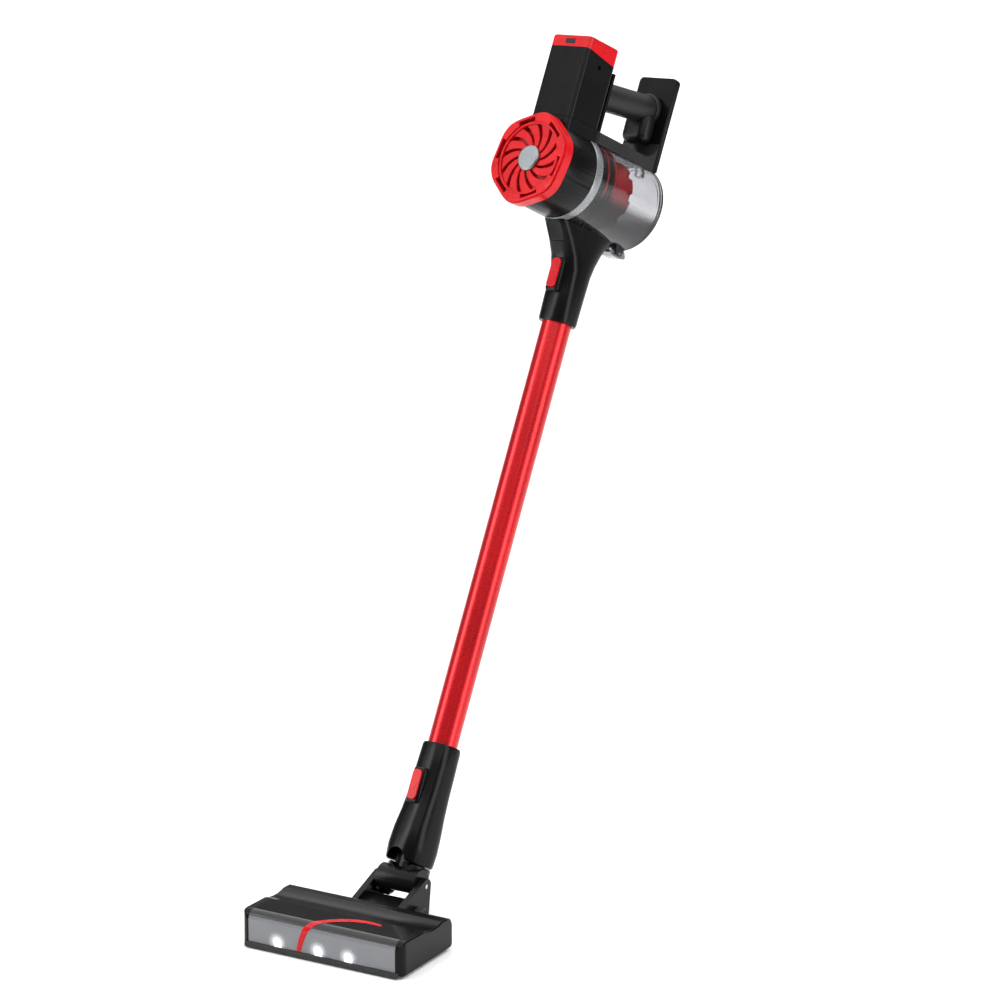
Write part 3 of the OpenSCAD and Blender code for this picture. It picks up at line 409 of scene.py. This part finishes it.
# Raised housing round a release button, with the pocket that the button moves in
buttonHousing = {"rim": 3.0, "endRim": 4.0, "setBack": 2.0, "depth": 4.0, "round": 3.4,
                 "gap": 0.3, "pocketFront": 12.0, "pocketBack": 0.4, "pocketRound": 2.0}


def addButtonHousing(shell, button):
    low, high = boxInMm(button, wandFrame)
    settings = buttonHousing
    rim, endRim, gap = settings["rim"], settings["endRim"], settings["gap"]
    housing = roundedBox("housing", wandFrame,
                         (low.x - rim, low.y + settings["setBack"], low.z - endRim),
                         (high.x + rim, settings["depth"] - tubeRadius, high.z + endRim),
                         settings["round"])
    combine(shell, [housing], "UNION")
    pocket = roundedBox("pocket", wandFrame,
                        (low.x - gap, low.y - settings["pocketFront"], low.z - gap),
                        (high.x + gap, high.y + settings["pocketBack"], high.z + gap),
                        settings["pocketRound"])
    combine(shell, [pocket])


# Lower connector. Each row: height above its foot, half width, front, back, squareness
lowerConnector = {
    "rows": [(0, 25.0, -30.0, 24.6, 2.6), (2.5, 26.2, -31.6, 26.0, 2.8), (20, 26.8, -32.4, 26.4, 3.0),
             (42, 25.8, -30.4, 25.2, 3.1), (66, 23.9, -26.4, 23.6, 3.1), (92, 22.9, -23.8, 22.8, 3.0),
             (125, 22.5, -22.8, 22.5, 2.9), (150, 22.3, -22.3, 22.3, 2.7), (153.4, 21.4, -21.4, 21.4, 2.6)],
    "archRadius": 15.0, "archBack": -19.0, "edge": 0.7, "boreGap": 0.4, "boreDepth": 60.0,
    "ductRadius": 15.5, "seatRadius": 19.5, "seatDepth": 41.0,
}


def buildLowerConnector():
    low, high = boxInMm("lower_connector", wandFrame)
    settings = lowerConnector
    shell = loft("lowerConnectorShell", wandFrame,
                 [roundedRing(low.z + row[0], *row[1:]) for row in settings["rows"]])
    addButtonHousing(shell, "lower_button")
    combine(shell, [
        rod("bore", wandFrame, "w", (0, 0), tubeRadius + settings["boreGap"],
            high.z - settings["boreDepth"], high.z + 5),
        rod("duct", wandFrame, "w", (0, 0), settings["ductRadius"], low.z + 20, high.z - 50),
        rod("seat", wandFrame, "w", (0, 0), settings["seatRadius"], low.z - 5,
            low.z + settings["seatDepth"]),
        rod("arch", wandFrame, "v", (low.z, 0), settings["archRadius"], -60, settings["archBack"])])
    roundEdges(shell, settings["edge"])
    finishPiece(shell, "connector", blackGloss, ["lower_connector"])


# Socket and bracket of the hand unit. Rows as above, the last ones reach into the barrel
upperSocket = {
    "rows": [(0, 21.4, -21.4, 21.4, 2.6), (3.4, 22.3, -22.3, 22.3, 2.7), (40, 22.5, -22.8, 22.5, 2.9),
             (68, 22.3, -24.4, 23.6, 3.0), (84, 21.2, -31.0, 27.4, 3.4), (100, 20.2, -42.5, 33.0, 4.0),
             (114, 19.4, -54.5, 40.0, 4.6), (121, 19.2, -60.0, 45.0, 5.0), (146, 19.0, -61.5, 50.0, 6.0)],
    "edge": 0.8, "insetWidth": 25.0, "insetLength": 25.0, "insetDepth": 1.6, "insetRound": 1.5,
    "boreGap": 0.4, "boreDepth": 60.0, "ductRadius": 15.0, "barrelGap": 0.3,
}


def buildUpperSocket():
    low, high = boxInMm("wand_socket", wandFrame)
    settings = upperSocket
    rows = settings["rows"]
    shell = loft("upperSocketShell", wandFrame, [roundedRing(low.z + row[0], *row[1:]) for row in rows])
    addButtonHousing(shell, "upper_button")
    # A shallow inset panel on the slope of the bracket's front
    a = Vector((0, rows[5][2], low.z + rows[5][0]))
    b = Vector((0, rows[6][2], low.z + rows[6][0]))
    slope = (b - a).normalized()
    outward = Vector((0, -slope.z, slope.y))
    inset = wandFrame @ frameAt((a + b) / 2 * mm, Vector((1, 0, 0)), -outward, slope)
    half, reach, depth = settings["insetWidth"] / 2, settings["insetLength"] / 2, settings["insetDepth"]
    combine(shell, [
        roundedBox("inset", inset, (-half, -12, -reach), (half, depth, reach), settings["insetRound"]),
        rod("barrel", handFrame, "v", (0, 0), barrelRadius + settings["barrelGap"], -200, 200),
        rod("bore", wandFrame, "w", (0, 0), tubeRadius + settings["boreGap"], low.z - 5,
            low.z + settings["boreDepth"]),
        rod("duct", wandFrame, "w", (0, 0), settings["ductRadius"], low.z + 50, low.z + 300)])
    roundEdges(shell, settings["edge"])
    finishPiece(shell, "hand_unit", blackGloss, ["wand_socket"])


# Grip: dark collar where it meets the back panel, and the rounded pod under it
gripDetails = {"collarRadius": 20.6, "collarFrom": 9.0, "collarTo": 1.5, "podWidth": 20.0, "podDepth": 24.0,
               "podLow": -48.0, "podHigh": -8.0, "podRound": 11.0, "collarRound": 1.6, "endSlice": 4.0}


def middleOf(points):
    return Vector([(max(p[i] for p in points) + min(p[i] for p in points)) / 2 for i in range(3)])


def buildGripDetails():
    settings = gripDetails
    points = [handFrame.inverted() @ vertex.co for vertex in nodes["handle_grip"].data.vertices]
    panelFront = boxInMm("rear_panel", handFrame)[0].y * mm
    reach = settings["endSlice"] * mm
    gripFront = min(p.y for p in points)
    rear = [p for p in points if p.y > panelFront - reach]
    front = [p for p in points if p.y < gripFront + reach]
    rearMiddle, frontMiddle = middleOf(rear), middleOf(front)
    along = (rearMiddle - frontMiddle).normalized()
    gripFrame = handFrame @ frameAt(rearMiddle, Vector((1, 0, 0)), along,
                                    Vector((1, 0, 0)).cross(along))
    collar = rod("gripCollar", gripFrame, "v", (0, 0), settings["collarRadius"],
                 -settings["collarFrom"], -settings["collarTo"])
    roundEdges(collar, settings["collarRound"], 4)
    finishPiece(collar, "hand_unit", blackMatte)
    base = handFrame @ Matrix.Translation((0, panelFront, rearMiddle.z))
    wide, depth = settings["podWidth"], settings["podDepth"]
    pod = roundedBox("gripPod", base, (-wide, -depth, settings["podLow"]), (wide, 0.2, settings["podHigh"]),
                     settings["podRound"], segments=8)
    finishPiece(pod, "hand_unit", blackSatin)


# Painted shade: dark strips on the floors of the six air slots of the lobed cover, where shade falls in the slots
coverSlots = {"count": 6, "firstTurn": -50.0, "inner": 8.7, "outer": 4.7, "halfLength": 12.7, "depth": 1.2,
              "setBack": 3.0, "round": 0.4}


def buildSlotShadeStrips():
    settings = coverSlots
    floor = barrelLow.y - settings["setBack"]
    inner, outer = barrelRadius - settings["inner"], barrelRadius - settings["outer"]
    half = settings["halfLength"]
    for number in range(settings["count"]):
        turn = math.radians(settings["firstTurn"] - 360 / settings["count"] * number)
        turned = handFrame @ Matrix.Rotation(turn, 4, "Y")
        # Each strip is a dark sheet that paints the shade on a slot's floor
        strip = roundedBox("slotShadeStrip%d" % (number + 1), turned, (inner, floor - settings["depth"], -half),
                           (outer, floor - 0.05, half), settings["round"], segments=2)
        finishPiece(strip, "filter_cover", blackMatte)


# Lamps: a painted glow, a soft round emissive disc behind the window just in front of each lens, stands in for the
# lamp's light spreading in the window
lampGlow = {"radius": 13.0, "lift": 3.0, "inFront": 0.6, "strength": 5.0, "lampSpacing": 0.01,
            "fade": [(0.0, grey(1)), (0.3, grey(0.6)), (0.6, grey(0.14)), (1.0, grey(0))]}


def glowMaterial():
    material = bpy.data.materials.new("lampGlow")
    material.use_nodes = True
    tree = material.node_tree
    tree.nodes.clear()
    coordinate = addNode(tree, "ShaderNodeTexCoord")
    length = addNode(tree, "ShaderNodeVectorMath", operation="LENGTH")
    tree.links.new(coordinate.outputs["Object"], length.inputs[0])
    scaled = addNode(tree, "ShaderNodeMath", operation="DIVIDE")
    scaled.inputs[1].default_value = lampGlow["radius"] * mm
    tree.links.new(length.outputs["Value"], scaled.inputs[0])
    fade = ramp(tree, scaled.outputs["Value"], lampGlow["fade"])
    fade.color_ramp.interpolation = "EASE"
    # The emission paints the glow; it fades to clear towards the disc's edge
    light = addNode(tree, "ShaderNodeEmission", Color=(0.93, 0.96, 1.0, 1), Strength=lampGlow["strength"])
    clear = addNode(tree, "ShaderNodeBsdfTransparent")
    mix = addNode(tree, "ShaderNodeMixShader")
    out = addNode(tree, "ShaderNodeOutputMaterial")
    tree.links.new(fade.outputs["Color"], mix.inputs["Fac"])
    tree.links.new(clear.outputs[0], mix.inputs[1])
    tree.links.new(light.outputs[0], mix.inputs[2])
    tree.links.new(mix.outputs[0], out.inputs["Surface"])
    return material


def buildLampGlow():
    points = sorted((vertex.co.copy() for vertex in nodes["led_lenses"].data.vertices), key=lambda p: p.x)
    groups = [[points[0]]]
    for before, point in zip(points, points[1:]):
        if point.x - before.x > lampGlow["lampSpacing"]:
            groups.append([])
        groups[-1].append(point)
    material = glowMaterial()
    for number, group in enumerate(groups, 1):
        low = Vector([min(p[i] for p in group) for i in range(3)])
        high = Vector([max(p[i] for p in group) for i in range(3)])
        shape = bmesh.new()
        bmesh.ops.create_circle(shape, cap_ends=True, segments=48, radius=lampGlow["radius"] * mm,
                                matrix=Matrix.Rotation(math.radians(90), 4, "X"))
        disc = makeObject("lampGlow%d" % number, shape)
        disc.data.materials.append(material)
        disc.location = ((low.x + high.x) / 2, low.y - lampGlow["inFront"] * mm,
                         (low.z + high.z) / 2 + lampGlow["lift"] * mm)
        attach(disc, "head")


buildLowerConnector()
buildUpperSocket()
buildGripDetails()
buildSlotShadeStrips()
buildLampGlow()
print("connector, socket, grip details and lamp glow built")


cameraSettings = {"aim": (0.2454, -0.06155, 0.6316), "azimuth": 30.1, "elevation": 18.3,
                  "distance": 8.2348, "lens": 252.4, "sensor": 36.0}


def cameraDirection():
    azimuth = math.radians(cameraSettings["azimuth"])
    elevation = math.radians(cameraSettings["elevation"])
    return Vector((math.sin(azimuth) * math.cos(elevation),
                   -math.cos(azimuth) * math.cos(elevation), math.sin(elevation)))


stageSettings = {"floorSize": 30.0, "floorPlace": (0, 2, -0.0005), "floorColour": (0.95, 0.95, 0.95),
                 "worldLight": 0.16, "cardSize": 4.6, "cardDistance": 11.0, "cardColour": (0.01, 0.01, 0.01)}


def buildStage():
    bpy.ops.mesh.primitive_plane_add(size=stageSettings["floorSize"], location=stageSettings["floorPlace"])
    floor = bpy.context.object
    floor.name = "studioFloor"
    paint = mouldedPlastic("paleFloor", stageSettings["floorColour"], 0.6, grain=0.02, spread=0.02)
    floor.data.materials.append(paint)
    # Dark card behind the camera, so that edges facing it read as dark lines
    toCamera = cameraDirection()
    bpy.ops.mesh.primitive_plane_add(size=stageSettings["cardSize"])
    card = bpy.context.object
    card.name = "darkCard"
    card.location = Vector(cameraSettings["aim"]) + toCamera * stageSettings["cardDistance"]
    card.rotation_mode = "QUATERNION"
    card.rotation_quaternion = toCamera.to_track_quat("Z", "Y")
    card.data.materials.append(mouldedPlastic("darkCardPaper", stageSettings["cardColour"], 0.9, shine=0.1))
    world = bpy.data.worlds.new("studioWorld")
    world.use_nodes = True
    sky = world.node_tree.nodes["Background"]
    sky.inputs["Color"].default_value = (1, 1, 1, 1)
    sky.inputs["Strength"].default_value = stageSettings["worldLight"]
    bpy.context.scene.world = world


def addLight(name, place, target, size, power):
    light = bpy.data.lights.new(name, "AREA")
    light.shape = "RECTANGLE"
    light.size, light.size_y = size
    light.energy = power
    thing = bpy.data.objects.new(name, light)
    bpy.context.collection.objects.link(thing)
    thing.location = place
    thing.rotation_mode = "QUATERNION"
    thing.rotation_quaternion = (Vector(target) - Vector(place)).to_track_quat("-Z", "Y")


def addCamera():
    back = cameraDirection()
    data = bpy.data.cameras.new("studioCamera")
    data.lens = cameraSettings["lens"]
    data.sensor_width = cameraSettings["sensor"]
    data.clip_end = 50
    camera = bpy.data.objects.new("studioCamera", data)
    bpy.context.collection.objects.link(camera)
    camera.location = Vector(cameraSettings["aim"]) + back * cameraSettings["distance"]
    camera.rotation_mode = "QUATERNION"
    camera.rotation_quaternion = (-back).to_track_quat("-Z", "Y")
    bpy.context.scene.camera = camera


buildStage()
lights = {
    "overheadLight": ((-1.0, 3.0, 5.0), (-1.0, 3.0, 0.0), (13.0, 15.0), 1130),
    "leftLight": ((-2.3, -1.5, 1.3), (0.1, 0.2, 0.6), (1.1, 2.6), 60),
    "rightLight": ((2.6, 0.4, 1.2), (0.1, 0.2, 0.6), (1.0, 2.6), 42),
}
for lightName, (place, target, size, power) in lights.items():
    addLight(lightName, place, target, size, power)
addCamera()
bpy.context.scene.view_settings.view_transform = "Standard"
print("stage, lights and camera placed")
